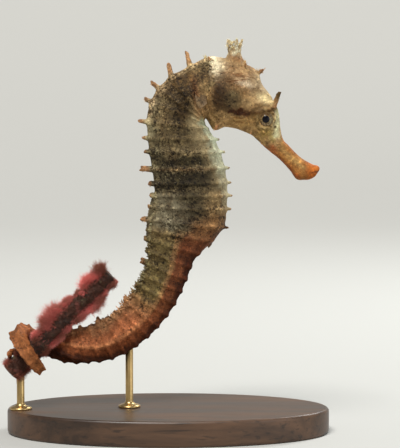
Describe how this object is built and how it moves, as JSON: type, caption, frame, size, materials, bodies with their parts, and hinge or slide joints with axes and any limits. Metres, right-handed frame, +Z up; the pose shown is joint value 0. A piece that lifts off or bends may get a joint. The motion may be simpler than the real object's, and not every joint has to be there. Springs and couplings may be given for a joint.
{
  "type": "seahorse display model",
  "caption": "Life-size still seahorse with ringed body and curled tail gripping a short encrusted stem, held by two thin rods on a flat oval stand",
  "frame": {"origin": "middle of the stand base's underside", "axes": "+Z up; +X the side the snout points to, along the base's long axis; +Y the animal's left side, away from the viewer of its right flank"},
  "size_m": [0.0763, 0.042, 0.0926],
  "materials": {
    "head_skin": "matt cream and brown mottled skin over bony plates",
    "snout_skin": "satin orange skin",
    "coronet_skin": "matt pale cream skin",
    "trunk_skin": "matt beige-grey skin, darkly speckled, over ringed plates",
    "tail_skin": "matt red-brown skin over ringed plates",
    "fin": "thin translucent pale fin",
    "eye": "glossy olive eye with black pupil",
    "stem": "rough dark stem with pink-red growth",
    "stand_wood": "dark satin wood",
    "stand_brass": "brushed brass"
  },
  "bodies": {
    "root": {"head": "head_skin", "snout": "snout_skin", "coronet": "coronet_skin", "eye_left": "eye", "eye_right": "eye", "pectoral_fin_left": "fin", "pectoral_fin_right": "fin", "dorsal_fin": "fin", "anal_fin": "fin", "neck": "trunk_skin", "trunk_upper": "trunk_skin", "trunk_lower": "trunk_skin", "tail_root": "tail_skin", "tail_bend": "tail_skin", "tail_reach": "tail_skin", "tail_grip_back": "tail_skin", "tail_grip_front": "tail_skin", "tail_tip": "tail_skin", "perch_stem": "stem", "stand_base": "stand_wood", "stand_rod_tail": "stand_brass", "stand_rod_perch": "stand_brass"}
  },
  "joints": []
}
